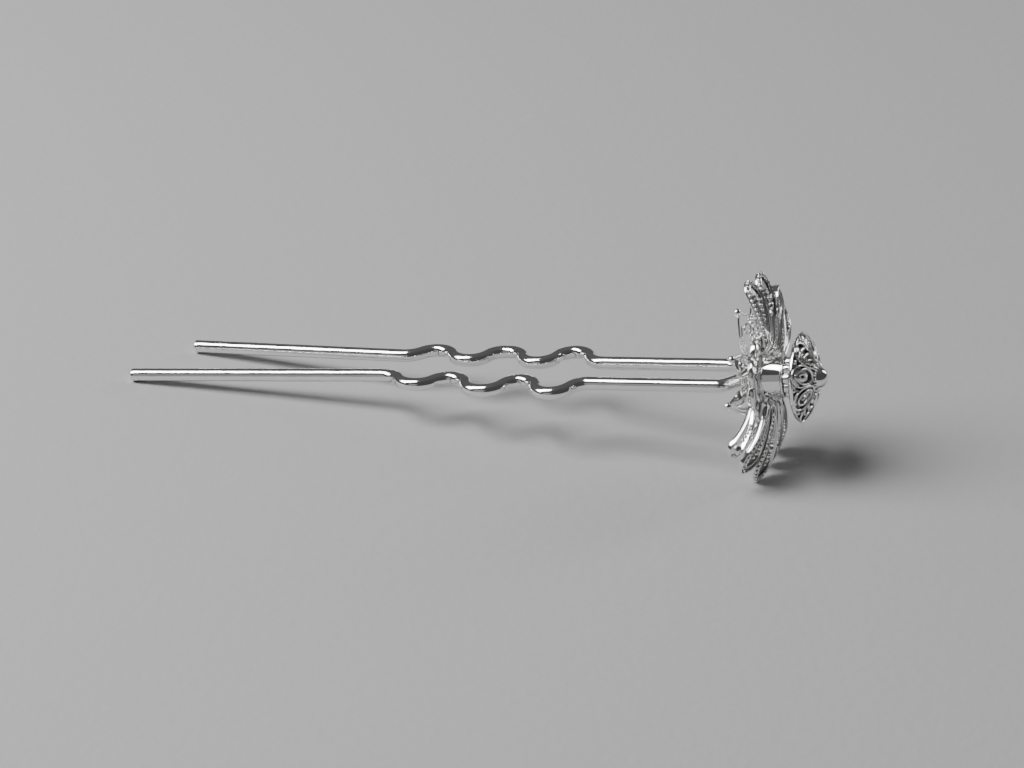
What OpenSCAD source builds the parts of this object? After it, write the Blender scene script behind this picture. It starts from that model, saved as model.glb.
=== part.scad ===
// Hairpin: a bent wire pin with two kinked legs, and a pierced flower at its head.
// It lies as on a table: both leg tips and two petal tips touch the plane z = 0.
// The flower faces +X, the legs run towards -X, and +Z is up. All sizes are in millimetres.

/* [Pin wire] */
// Diameter of the round wire
wire_d = 1.5; // [1.2:0.1:1.7]
// Distance of each leg's centre line from the pin's middle
leg_half_gap = 2.7; // [2.4:0.1:3.2]
// Straight length between the head and the first kink
neck_len = 14.7; // [10:0.5:20]
// Length of one kink along the leg
kink_pitch = 8.1; // [7.6:0.1:9]
// Straight length of the far leg behind its kinks
far_tail_len = 26.1; // [20:0.5:35]
// Straight length of the near leg behind its kinks
near_tail_len = 29.9; // [20:0.5:35]
// Angle by which the near leg's tail opens outwards
near_splay = 6.9; // [0:0.1:9]
// Angle by which the far leg's tail closes inwards
far_splay = 1.2; // [0:0.1:3]
// Angle by which both tails are bent towards the flower's top
tail_lift = 2.2; // [0:0.1:3]

/* [Flower] */
// Radius of the base plate that carries the petals
plate_r = 5.1; // [4.6:0.1:5.6]
// Thickness of the base plate
plate_t = 0.6; // [0.4:0.1:0.8]
// Thickness of a petal's pierced sheet
petal_t = 0.5; // [0.35:0.05:0.55]
// Width of the rim that frames each petal
petal_rim = 0.4; // [0.3:0.05:0.5]
// Width of a leaf's loop
leaf_w = 3.3; // [2.9:0.1:3.4]
// Radius of the bead at a leaf's tip
leaf_bead_r = 0.6; // [0.4:0.05:0.7]

/* [Post and rosette] */
// Radius of the post's tube
post_r = 2.3; // [1.9:0.05:2.35]
// Length of the post's tube
post_len = 2.5; // [2:0.05:2.7]
// Number of blocks round the collar
collar_blocks = 10; // [9:1:12]
// Height of the collar
collar_h = 0.8; // [0.5:0.05:1]
// Radius of the rosette's rim
rosette_r = 5; // [4.2:0.05:5.2]
// Height of the rosette's dome above its rim
rosette_rise = 1.8; // [1.4:0.05:2]
// Number of lobes round the rosette
lobe_count = 9; // [7:1:10]
// Radius of the ball at the front
ball_r = 1.22; // [1:0.02:1.3]

/* [Resting pose] */
// Height of the flower's axis over the table, at the base plate
axis_h = 10.88; // [10.5:0.01:11.2]
// Angle of the flower's axis to the table
tilt = 9.35; // [8:0.01:10]
// Turn of the whole hairpin about the flower's axis
roll = -3.73; // [-5:0.01:0]

/* [Hidden] */
$fn = 48;
wire_r = wire_d / 2;
gap = 0.06;

// Spare length of a shape that only trims another
spare = 2;

link_len = 0.05;
link_lap = 0.05;
link_rise = 0.01;

// The wire's head is a V that closes behind the base plate.
head_bend_r = 1.2;
shoulder_r = 1.5;
slight_r = 8;
head_turn = 45;
head_s = -2;
shoulder_len = (leg_half_gap - head_bend_r * sin(head_turn) - shoulder_r * (1 - cos(head_turn)))
    / sin(head_turn) - 2 * link_len;
boss_r = 1.45;
boss_back_r = 0.6;
boss_back_s = -2.1;

// Each kink swings outwards, and a little past the leg's line on its way back.
// Levels are distances outwards from the leg's line at each half pitch.
KINK_LEVELS = [0, 2.75, -0.3, 2.45, -0.3, 1.9, 0];
last_level = len(KINK_LEVELS) - 1;
lift_after = 3;
half_pitch = kink_pitch / 2;

// One row for each long petal: its angle from the top towards the far side, its reach from
// the axis, its width, and the places along the axis of its crest and of its tip.
PETALS = [
    [12, 11, 3.8, 0.4, -1.6],
    [31, 11.8, 4.0, 0.5, -1.1],
    [49, 11.2, 3.8, 0.65, -0.1],
    [67, 10.9, 3.8, 1.3, 0],
    [164, 11.1, 3.8, 1.15, -0.5],
    [182, 10.8, 3.8, 1.1, -0.6],
    [201, 11.83, 4.0, 1.1, -1.2],
    [218, 11.1, 3.8, 0.7, -1.9],
];
P_ANGLE = 0;
P_REACH = 1;
P_WIDTH = 2;
P_CREST = 3;
P_TIP = 4;
crest_x = 3.7;
foot_x = 2.9;
foot_r = crest_x - foot_x;
petal_start = 2.3;
petal_foot_w = 0.72;
petal_foot_end = 3.2;
petal_end = 1.3;
petal_sector = 8.2;
petal_open_start = 1;
rib_w = 0.34;
// Places of a petal's slanted ribs, as shares of its reach, and their angle
SIDE_RIBS = [0.42, 0.68];
side_rib_turn = 50;

// One row for each leaf behind the flower: its angle, the distance of its bead from the axis,
// and the bead's place along the axis. The leaves curl back to their beads.
LEAVES = [
    [352, 8.3, -2],
    [308, 8.1, -1.6],
    [272, 8.3, -2],
    [231, 9.2, -2.4],
    [192, 8.3, -2],
    [152, 8.3, -2],
    [112, 8.3, -2],
    [72, 8.3, -2],
    [32, 8.3, -2],
];
L_ANGLE = 0;
L_REACH = 1;
L_TIP = 2;
leaf_start = 1.75;
leaf_t = 0.6;
leaf_crest = -plate_t - gap - leaf_t / 2;
leaf_crest_x = 4.5;
leaf_rim = 0.4;
leaf_stalk_w = 0.7;
leaf_open_start = 3.35;
leaf_dish_r = 0.62;
leaf_dish_back = 0.3;

plate_lobes = 9;
plate_lobe_r = 0.36 * plate_r;
plate_hole_r = 0.75;
post_flange_r = 2.45;
post_flange_h = 0.2;
post_wall = 0.35;
collar_s = post_len + gap;
collar_r = 2.3;
block_r = 0.62;
rosette_s = collar_s + collar_h + gap;
rosette_rim_s = 4.25;
rosette_t = 0.55;
rosette_pole_s = rosette_rim_s + rosette_rise;
rosette_stem_r = 1.3;
dome_r = (rosette_r * rosette_r + rosette_rise * rosette_rise) / (2 * rosette_rise);
lobe_r = 1.5;
lobe_at = rosette_r - lobe_r;
lobe_rim = 0.4;
lobe_turn = 4;
ball_s = 5.92;

// Moves the middle of the object's box over the origin.
centre_x = 33.673;
centre_y = -0.716;

// Turns the flower's own frame, whose Z is its axis, into the resting pose.
module lay() {
    translate([centre_x, centre_y, axis_h]) rotate([0, 90 - tilt, 0]) rotate([0, 0, roll]) children();
}

// Turns a shape that points along +X to an angle counted from the top towards the far side.
module at_angle(angle) {
    rotate([0, 0, 180 - angle]) children();
}

// A bend of the wire that starts at the origin along +Z and turns towards +Y, or -Y if negative.
module bend(radius, angle) {
    mirror([0, angle < 0 ? 1 : 0, 0])
        translate([0, radius, 0]) rotate([90, 0, -90])
            rotate_extrude(angle = abs(angle)) translate([radius, 0]) circle(r = wire_r);
}

module after_bend(radius, angle) {
    translate([0, sign(angle) * radius * (1 - cos(angle)), radius * sin(abs(angle))])
        rotate([-angle, 0, 0]) children();
}

// The short straight piece between two stretches of the wire. It laps over both of them.
module link() {
    translate([0, 0, -link_lap]) cylinder(h = link_len + 2 * link_lap, r = wire_r + link_rise);
    translate([0, 0, link_len]) children();
}

module bend_on(radius, angle) {
    bend(radius, angle);
    after_bend(radius, angle) link() children();
}

module run_on(length) {
    cylinder(h = length, r = wire_r);
    translate([0, 0, length]) link() children();
}

// One swing of a kink from a level to the next: two equal bends that turn opposite ways. It
// ends half a pitch further on.
module swing(rise) {
    angle = 2 * atan(rise / half_pitch);
    radius = (half_pitch - link_len * (1 + cos(angle))) / 2 / sin(abs(angle));
    bend_on(radius, angle) bend_on(radius, -angle);
}

module at_level(i) {
    translate([0, KINK_LEVELS[i], i * half_pitch]) children();
}

// The swings from level number first to level number last.
module kinks(first, last) {
    for (i = [first:last - 1])
        at_level(i) swing(KINK_LEVELS[i + 1] - KINK_LEVELS[i]);
}

// A slight bend towards the flower's top.
module lift() {
    rotate([0, 0, 90]) bend_on(slight_r, tail_lift) rotate([0, 0, -90]) children();
}

// One leg, from the V head's bend to its tip. It runs along +Z and opens towards +Y.
module leg(tail_len, splay) {
    rotate([-90, 0, 0]) after_bend(head_bend_r, -head_turn) link()
        run_on(shoulder_len) bend_on(shoulder_r, -head_turn) run_on(neck_len) {
            kinks(0, lift_after);
            at_level(lift_after) lift()
                translate([0, -KINK_LEVELS[lift_after], -lift_after * half_pitch]) {
                    kinks(lift_after, last_level);
                    at_level(last_level) bend_on(slight_r, splay)
                        cylinder(h = tail_len, r = wire_r);
                }
        }
}

module pin() {
    color("gainsboro") lay() {
        translate([0, 0, head_s]) mirror([0, 0, 1]) {
            translate([0, 0, head_bend_r]) rotate([0, 90, 0]) rotate([0, 0, -head_turn])
                rotate_extrude(angle = 2 * head_turn) translate([head_bend_r, 0]) circle(r = wire_r);
            leg(far_tail_len, -far_splay);
            mirror([0, 1, 0]) leg(near_tail_len, near_splay);
        }
        translate([0, 0, boss_back_s])
            cylinder(h = -plate_t - boss_back_s, r1 = boss_back_r, r2 = boss_r);
    }
}

// A pointed leaf outline along X, from x = start to x = end.
module vesica(start, end, width) {
    length = end - start;
    radius = (length * length + width * width) / (4 * width);
    intersection_for (side = [-1, 1])
        translate([(start + end) / 2, side * (radius - width / 2)]) circle(r = radius);
}

// A drop outline along X: a round end of radius r at x = at, and straight sides to x = start.
module drop(start, at, r, start_w) {
    reach = at - start;
    lean = asin((r - start_w / 2) / reach);
    translate([at, 0]) circle(r = r);
    polygon([
        [start, -start_w / 2], [at - r * sin(lean), -r * cos(lean)],
        [at - r * sin(lean), r * cos(lean)], [start, start_w / 2],
    ]);
}

// Side view of a petal's sheet: up from its foot, over the crest and down to the tip.
module petal_arch(reach, crest, tip, thick) {
    fall = crest - tip;
    run = reach - crest_x;
    radius = (run * run + fall * fall) / (2 * fall);
    half = thick / 2;
    intersection() {
        difference() {
            translate([crest_x, crest - radius]) circle(r = radius + half);
            translate([crest_x, crest - radius]) circle(r = radius - half);
        }
        translate([crest_x, tip - spare]) square([reach, fall + 2 * spare]);
    }
    intersection() {
        difference() {
            translate([crest_x, crest - foot_r]) circle(r = foot_r + half);
            translate([crest_x, crest - foot_r]) circle(r = foot_r - half);
        }
        translate([0, max(gap, crest - foot_r)]) square([crest_x, crest + thick]);
    }
    if (crest - foot_r > gap)
        translate([foot_x - half, gap]) square([thick, crest - foot_r - gap]);
}

// A wedge along X between the sector lines that part a petal from its neighbours.
module wedge(start, end) {
    spread = tan(petal_sector);
    polygon([
        [start, -start * spread], [end, -end * spread],
        [end, end * spread], [start, start * spread],
    ]);
}

// The petal's outline with its openings: a narrow foot, a rim, a middle rib and slanted side
// ribs.
module petal_outline(reach, width) {
    difference() {
        intersection() {
            vesica(petal_start, reach, width);
            union() {
                translate([petal_start, -petal_foot_w / 2])
                    square([petal_foot_end - petal_start, petal_foot_w]);
                wedge(petal_foot_end, reach);
            }
        }
        difference() {
            intersection() {
                vesica(petal_foot_end, reach - petal_end, width - 2 * petal_rim);
                translate([petal_rim / sin(petal_sector), 0]) wedge(petal_open_start, reach);
            }
            translate([0, -rib_w / 2]) square([reach, rib_w]);
            for (side = [-1, 1], share = SIDE_RIBS)
                translate([reach * share, 0]) rotate([0, 0, side * side_rib_turn])
                    translate([0, -rib_w / 2]) square([width, rib_w]);
        }
    }
}

module petal(row) {
    reach = row[P_REACH];
    width = row[P_WIDTH];
    color("whitesmoke") lay() at_angle(row[P_ANGLE])
        intersection() {
            translate([0, width, 0]) rotate([90, 0, 0]) linear_extrude(2 * width)
                petal_arch(reach, row[P_CREST], row[P_TIP], petal_t);
            translate([0, 0, row[P_TIP] - spare])
                linear_extrude(row[P_CREST] - row[P_TIP] + 2 * spare)
                    petal_outline(reach, width);
        }
}

// Side view of a leaf's sheet, a single arc that falls towards the bead.
module leaf_arch(reach, tip) {
    fall = leaf_crest - tip;
    run = reach - leaf_crest_x;
    radius = (run * run + fall * fall) / (2 * fall);
    intersection() {
        difference() {
            translate([leaf_crest_x, leaf_crest - radius]) circle(r = radius + leaf_t / 2);
            translate([leaf_crest_x, leaf_crest - radius]) circle(r = radius - leaf_t / 2);
        }
        translate([0, tip - spare]) square([reach, fall + 2 * spare]);
    }
}

module leaf(row) {
    reach = row[L_REACH];
    tip = row[L_TIP];
    loop_r = leaf_w / 2;
    loop_at = reach - leaf_bead_r - loop_r;
    color("gainsboro") lay() at_angle(row[L_ANGLE]) {
        intersection() {
            translate([0, leaf_w, 0]) rotate([90, 0, 0]) linear_extrude(2 * leaf_w)
                leaf_arch(reach, tip);
            translate([0, 0, tip - spare]) linear_extrude(leaf_crest - tip + 2 * spare)
                difference() {
                    union() {
                        drop(leaf_start, loop_at, loop_r, leaf_stalk_w);
                        translate([loop_at, -leaf_stalk_w / 2])
                            square([reach - loop_at, leaf_stalk_w]);
                    }
                    difference() {
                        drop(leaf_open_start, loop_at, loop_r - leaf_rim, rib_w);
                        translate([loop_at - leaf_dish_back, 0]) circle(r = leaf_dish_r);
                        translate([leaf_start, -rib_w / 2]) square([loop_at - leaf_start, rib_w]);
                    }
                }
        }
        translate([reach, 0, tip]) sphere(r = leaf_bead_r);
    }
}

// Puts a flat shape at the middle of each of the plate's lobes.
module in_plate_lobes() {
    for (i = [0:plate_lobes - 1])
        rotate([0, 0, i * 360 / plate_lobes]) translate([plate_r - plate_lobe_r, 0]) children();
}

module base_plate() {
    color("silver") lay() translate([0, 0, -plate_t]) linear_extrude(plate_t)
        difference() {
            union() {
                circle(r = plate_r - plate_lobe_r / 2);
                in_plate_lobes() circle(r = plate_lobe_r);
            }
            in_plate_lobes() circle(r = plate_hole_r);
        }
}

module post() {
    color("whitesmoke") lay() translate([0, 0, gap]) difference() {
        union() {
            cylinder(h = post_len - gap, r = post_r);
            cylinder(h = post_flange_h, r = post_flange_r);
        }
        translate([0, 0, -spare]) cylinder(h = post_len + 2 * spare, r = post_r - post_wall);
    }
}

module collar() {
    color("gainsboro") lay() translate([0, 0, collar_s]) {
        cylinder(h = collar_h, r = collar_r - block_r);
        for (i = [0:collar_blocks - 1])
            rotate([0, 0, i * 360 / collar_blocks]) translate([collar_r - block_r, 0, 0])
                cylinder(h = collar_h, r = block_r);
    }
}

// Puts a flat shape at the middle of each of the rosette's lobes.
module in_lobes() {
    for (i = [0:lobe_count - 1])
        rotate([0, 0, lobe_turn + i * 360 / lobe_count]) translate([lobe_at, 0]) children();
}

// A ring that stays closed only at a rib on its inner side.
module lobe_opening() {
    difference() {
        circle(r = lobe_r - lobe_rim);
        circle(r = lobe_r - 2 * lobe_rim);
        translate([-lobe_r, -rib_w / 2]) square([lobe_r, rib_w]);
    }
}

// Raises a flat shape from just behind the rosette's rim to past its pole.
module over_rosette() {
    translate([0, 0, rosette_rim_s - spare / 2]) linear_extrude(rosette_rise + spare) children();
}

module rosette_dome() {
    intersection() {
        translate([0, 0, rosette_pole_s - dome_r]) difference() {
            sphere(r = dome_r);
            sphere(r = dome_r - rosette_t);
        }
        over_rosette() {
            circle(r = lobe_at);
            in_lobes() circle(r = lobe_r);
        }
    }
}

module rosette() {
    color("whitesmoke") lay() difference() {
        union() {
            difference() {
                rosette_dome();
                over_rosette() in_lobes() lobe_opening();
            }
            translate([0, 0, rosette_s])
                cylinder(h = rosette_pole_s - rosette_t / 2 - rosette_s, r = rosette_stem_r);
        }
        translate([0, 0, ball_s]) sphere(r = ball_r + gap);
    }
}

module ball() {
    color("whitesmoke") lay() translate([0, 0, ball_s]) sphere(r = ball_r);
}

pin();
base_plate();
post();
collar();
rosette();
ball();
for (i = [1:len(PETALS)])
    petal(PETALS[i - 1]);
for (i = [1:len(LEAVES)])
    leaf(LEAVES[i - 1]);
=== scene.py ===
import math
import bpy
import numpy as np
from mathutils import Matrix, Vector


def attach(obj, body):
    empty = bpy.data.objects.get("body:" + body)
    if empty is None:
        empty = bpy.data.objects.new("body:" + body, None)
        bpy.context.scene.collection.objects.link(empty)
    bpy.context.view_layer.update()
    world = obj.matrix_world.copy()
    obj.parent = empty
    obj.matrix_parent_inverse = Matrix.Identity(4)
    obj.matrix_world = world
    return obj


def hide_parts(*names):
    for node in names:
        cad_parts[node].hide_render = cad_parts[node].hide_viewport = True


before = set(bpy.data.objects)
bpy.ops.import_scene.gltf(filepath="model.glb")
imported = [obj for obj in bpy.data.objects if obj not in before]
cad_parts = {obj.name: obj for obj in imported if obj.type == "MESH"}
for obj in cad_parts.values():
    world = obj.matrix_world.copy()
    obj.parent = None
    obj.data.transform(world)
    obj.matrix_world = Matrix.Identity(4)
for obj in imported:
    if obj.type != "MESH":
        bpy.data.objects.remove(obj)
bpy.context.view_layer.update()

# Sizes in millimetres and degrees, as in the part's source
MM = 0.001
WIRE_R = 0.75
HALF_GAP = 2.7
NECK = 14.7
PITCH = 8.1
FAR_TAIL, NEAR_TAIL = 26.1, 29.9
NEAR_SPLAY, FAR_SPLAY = 6.9, 1.2
LIFT = 2.2
LIFT_AFTER = 3
LINK = 0.05
HEAD_R, SHOULDER_R, SLIGHT_R = 1.2, 1.5, 8.0
HEAD_TURN = 45
HEAD_S = -2.0
LEVELS = [0, 2.75, -0.3, 2.45, -0.3, 1.9, 0]
CENTRE = (33.673, -0.716, 10.88)
TILT, ROLL = 9.35, -3.73
PLATE_R, PLATE_T, PLATE_LOBES = 5.1, 0.6, 9
POST_R, POST_LEN, POST_WALL = 2.3, 2.5, 0.35
FLANGE_R, FLANGE_H = 2.45, 0.2
GAP = 0.06
COLLAR_S, COLLAR_H, COLLAR_R, BLOCK_R, BLOCKS = POST_LEN + GAP, 0.8, 2.3, 0.62, 10
ROSETTE_R, ROSETTE_RIM_S, ROSETTE_RISE, LOBES, LOBE_TURN = 5.0, 4.25, 1.8, 9, 4
BALL_R, BALL_S = 1.22, 5.92
CREST_X, FOOT_X = 3.7, 2.9
SECTOR = math.tan(math.radians(9.9))

# One row for each long petal: its angle from the top towards the far side, its reach, the places
# along the axis of its crest and its tip, the roundness of its tip (1 is pointed), the edge that
# frames it, and its filling
PETALS = [
    (12, 10.8, 0.4, -1.6, 1.6, "beaded", "granules"),
    (31, 11.6, 0.5, -1.1, 2.0, "beaded", "beads"),
    (49, 11.1, 0.65, -0.1, 1.6, "blade", "scroll"),
    (67, 10.75, 1.3, 0.0, 1.3, "beaded", "beads"),
    (164, 11.1, 1.15, -0.5, 1.3, "beaded", "granules"),
    (182, 10.8, 1.1, -0.6, 1.5, "beaded", "scroll"),
    (201, 11.83, 1.1, -1.2, 1.2, "beaded", "beads"),
    (218, 10.9, 0.7, -1.9, 1.9, "band", "granules"),
]
# One row for each leaf: its angle, the distance of its bead, the bead's place, its filling, the
# height of its edge, its twist, and how far its body leans to one side. A spoon sets its own edge
# and doesn't lean.
LEAVES = [
    (352, 8.3, -2.0, "curl", 0.26, -0.4, 0.0),
    (308, 8.1, -1.6, "curl", 0.3, -0.1, 0.3),
    (272, 8.3, -2.0, "dish", 0.46, 0.1, 0.6),
    (231, 9.2, -2.4, "spoon", 0.9, 0.1, 0.0),
    (192, 8.3, -2.0, "dish", 0.46, 0.3, 0.0),
    (152, 8.3, -2.0, "curl", 0.3, 0.3, 0.0),
    (112, 8.3, -2.0, "dish", 0.4, 0.1, 0.3),
    (72, 8.3, -2.0, "curl", 0.3, -0.1, 0.3),
    (32, 8.3, -2.0, "curl", 0.3, -0.3, 0.0),
]
LEAF_W, LEAF_START, LEAF_CREST, LEAF_CREST_X = 3.3, 1.75, -0.96, 4.5

# Details that only the looks have
GRAIN_R, GRAIN_STEP = 0.2, 0.5
FINE_GRAIN_R, FINE_STEP = 0.15, 0.4
RIM_W, RIM_H, RIM_DROP = 0.18, 0.6, -0.06
THIN_R = 0.11
TWIST = 0.17
# How many points of a petal's edge, from its near foot, carry grains
NEAR_POINTS = 64


def rot(axis, deg):
    return np.array(Matrix.Rotation(math.radians(deg), 4, axis))


def shift(x, y, z):
    return np.array(Matrix.Translation((x, y, z)))


# The flower's own frame: Z is its axis, -X its top, +Y its far side.
LAY = shift(*CENTRE) @ rot("Y", 90 - TILT) @ rot("Z", ROLL)


def at_angle(deg):
    """Turns what points along +X to an angle counted from the top towards the far side."""
    return rot("Z", 180 - deg)


# Mesh kit, in which a part is a pair of points and faces

# A direction that no path starts along, and the rounded share of a band's smaller side
ANY_WAY = (0.3, 0.5, 0.81)
CORNER_SHARE = 0.42


def put(part, m):
    v, f = part
    return v @ m[:3, :3].T + m[:3, 3], f


def unit(v):
    return v / np.maximum(np.linalg.norm(v, axis=-1, keepdims=True), 1e-12)


def tangents(p, closed=False):
    if closed:
        return unit(np.roll(p, -1, 0) - np.roll(p, 1, 0))
    return unit(np.gradient(p, axis=0))


def sweep(path, ups, section, closed=False, scale=1.0):
    """Sweeps a closed section, given as (side, up) pairs, along a path."""
    path = np.asarray(path, float)
    sec = np.asarray(section, float)
    n, k = len(path), len(sec)
    t = tangents(path, closed)
    side = unit(np.cross(np.broadcast_to(np.asarray(ups, float), path.shape), t))
    up = np.cross(t, side)
    s = np.broadcast_to(np.asarray(scale, float), (n,))
    v = (path[:, None] + (sec[None, :, 0] * s[:, None])[..., None] * side[:, None]
         + (sec[None, :, 1] * s[:, None])[..., None] * up[:, None]).reshape(-1, 3)
    i = np.arange(n if closed else n - 1)[:, None]
    j = np.arange(k)[None, :]
    ahead = (i + 1) % n
    f = np.stack([i * k + j, i * k + (j + 1) % k, ahead * k + (j + 1) % k, ahead * k + j], -1)
    f = f.reshape(-1, 4).tolist()
    if not closed:
        f.append(list(range(k))[::-1])
        f.append([(n - 1) * k + q for q in range(k)])
    return v, f


def carried(path):
    """Up vectors carried along a path without twist."""
    t = tangents(path)
    u = unit(np.cross(t[0], ANY_WAY))
    out = [u]
    for q in t[1:]:
        u = unit(u - q * np.dot(u, q))
        out.append(u)
    return np.array(out)


def ring_section(r, k=12):
    a = np.arange(k) * 2 * math.pi / k
    return np.stack([r * np.cos(a), r * np.sin(a)], -1)


def band_section(w, h, r=None, drop=0.0, m=3):
    """A rectangle with rounded corners, whose middle lies at the height drop."""
    r = min(w, h) * CORNER_SHARE if r is None else r
    out = []
    corners = ((w / 2 - r, h / 2 - r, 0), (r - w / 2, h / 2 - r, 90),
               (r - w / 2, r - h / 2, 180), (w / 2 - r, r - h / 2, 270))
    for cx, cy, a0 in corners:
        for q in range(m + 1):
            a = math.radians(a0 + 90 * q / m)
            out.append((cx + r * math.cos(a), cy + drop + r * math.sin(a)))
    return out


def tube(path, r, k=12, scale=1.0):
    path = np.asarray(path, float)
    return sweep(path, carried(path), ring_section(r, k), scale=scale)


def ball_mesh(cols, rows):
    """A ball of radius 1."""
    v, f = [(0, 0, 1)], []
    for i in range(1, rows):
        a = math.pi * i / rows
        for j in range(cols):
            b = 2 * math.pi * j / cols
            v.append((math.sin(a) * math.cos(b), math.sin(a) * math.sin(b), math.cos(a)))
    v.append((0, 0, -1))
    last = len(v) - 1
    for j in range(cols):
        f.append([0, 1 + j, 1 + (j + 1) % cols])
        f.append([last, last - cols + (j + 1) % cols, last - cols + j])
        for i in range(rows - 2):
            a = 1 + i * cols
            f.append([a + j, a + cols + j, a + cols + (j + 1) % cols, a + (j + 1) % cols])
    return np.array(v, float), f


# Balls of radius 1, from coarse to fine
SMALL = ball_mesh(10, 7)
MIDDLE = ball_mesh(16, 10)
LEAF_BALL = ball_mesh(24, 16)
SPOON_BALL = ball_mesh(32, 20)
LARGE = ball_mesh(48, 32)
THIN_WIRE = ring_section(THIN_R, 8)


def beads(points, r, base=SMALL):
    """A small ball at each point. r is one radius, one for each point, or three for the axes."""
    points = np.asarray(points, float).reshape(-1, 3)
    r = np.asarray(r, float)
    size = np.broadcast_to(r[:, None] if r.shape == (len(points),) else r, points.shape)
    bv, bf = base
    v = (points[:, None] + bv[None] * size[:, None]).reshape(-1, 3)
    f = [[q + i * len(bv) for q in face] for i in range(len(points)) for face in bf]
    return v, f


def revolve(profile, n=72):
    """Turns a closed (r, s) profile round Z."""
    p = np.asarray(profile, float)
    k = len(p)
    a = np.arange(n) * 2 * math.pi / n
    v = np.stack([np.outer(np.cos(a), p[:, 0]), np.outer(np.sin(a), p[:, 0]),
                  np.broadcast_to(p[:, 1], (n, k))], -1).reshape(-1, 3)
    i, j = np.arange(n)[:, None], np.arange(k)[None, :]
    f = np.stack([i * k + j, ((i + 1) % n) * k + j, ((i + 1) % n) * k + (j + 1) % k,
                  i * k + (j + 1) % k], -1).reshape(-1, 4).tolist()
    return v, f


def rounded(points, r=0.06, m=3):
    """Rounds the corners of a closed profile."""
    p = np.asarray(points, float)
    out = []
    for i in range(len(p)):
        before, corner, after = p[i - 1], p[i], p[(i + 1) % len(p)]
        u, w = unit(before - corner), unit(after - corner)
        s = min(r, np.linalg.norm(before - corner) * 0.45, np.linalg.norm(after - corner) * 0.45)
        for q in range(m + 1):
            t = q / m
            out.append((corner + u * s) * (1 - t) ** 2 + corner * 2 * t * (1 - t)
                       + (corner + w * s) * t ** 2)
    return out


def spaced(path, step):
    """Points at equal steps along a path."""
    path = np.asarray(path, float)
    d = np.concatenate([[0], np.cumsum(np.linalg.norm(np.diff(path, axis=0), axis=1))])
    n = max(int(round(d[-1] / step)), 1)
    q = np.linspace(0, d[-1], n + 1)
    return np.stack([np.interp(q, d, path[:, i]) for i in range(path.shape[1])], -1)


def circle(r, n, s=0.0):
    a = np.arange(n) * 2 * math.pi / n
    return np.column_stack([r * np.cos(a), r * np.sin(a), np.full(n, s)])


def piece(name, parts, mat, slot, *nodes, m=LAY):
    """One object in metres from parts in the flower's frame."""
    vs, fs, base = [], [], 0
    for v, f in parts:
        vs.append(v)
        fs.extend([[q + base for q in face] for face in f])
        base += len(v)
    v, _ = put((np.vstack(vs), None), m)
    mesh = bpy.data.meshes.new(name)
    mesh.from_pydata((v * MM).tolist(), [], fs)
    mesh.polygons.foreach_set("use_smooth", [True] * len(mesh.polygons))
    mesh.validate()
    item = bpy.data.objects.new(name, mesh)
    bpy.context.scene.collection.objects.link(item)
    mesh.materials.append(mat)
    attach(item, "root")
    if nodes:
        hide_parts(*nodes)
    return item


# Materials

# The clouds in tone and gloss, the fine bumps, the duller tone and the share of blue in both, the
# spread of the roughness, the painted shade in the hollows, and the stretch of drawing marks
CLOUD_SCALE, CLOUD_DETAIL, CLOUD_RAMP = 380, 4, (0.3, 0.7)
FINE_SCALE, FINE_DETAIL, FINE_HEIGHT = 1900, 5, 0.06
DULL = 0.93
DULL_BLUE, BRIGHT_BLUE = 0.995, 0.99
GLOSS_LOW, GLOSS_HIGH = 0.75, 1.35
PAINTED_SHADE_SAMPLES, PAINTED_SHADE_RAMP = 6, (0.2, 0.75)
DRAWN_STRETCH = (0.08, 1, 1)
# The places of the colour sockets on a mix node
MIX_A, MIX_B, MIX_RESULT = 6, 7, 2


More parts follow.
